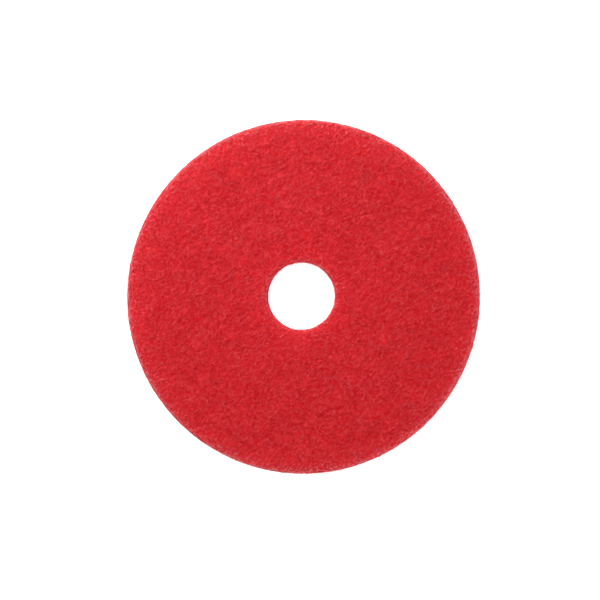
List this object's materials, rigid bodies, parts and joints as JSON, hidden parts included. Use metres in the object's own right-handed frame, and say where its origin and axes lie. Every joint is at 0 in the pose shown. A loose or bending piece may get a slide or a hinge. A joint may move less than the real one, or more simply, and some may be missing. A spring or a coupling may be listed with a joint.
{
  "type": "floor pad",
  "caption": "Round non-woven fibre buffing pad with a centre hole, driven flat on the floor by a rotary floor machine.",
  "frame": {"origin": "centre of the face that lies on the floor, on the spin axis", "axes": "+Z along the spin axis, from the floor towards the machine; X and Y are free, because the pad is round"},
  "size_m": [0.4318, 0.4318, 0.0254],
  "materials": {
    "red_fibre": "matte"
  },
  "bodies": {
    "root": {"buffing_pad": "red_fibre"}
  },
  "joints": []
}
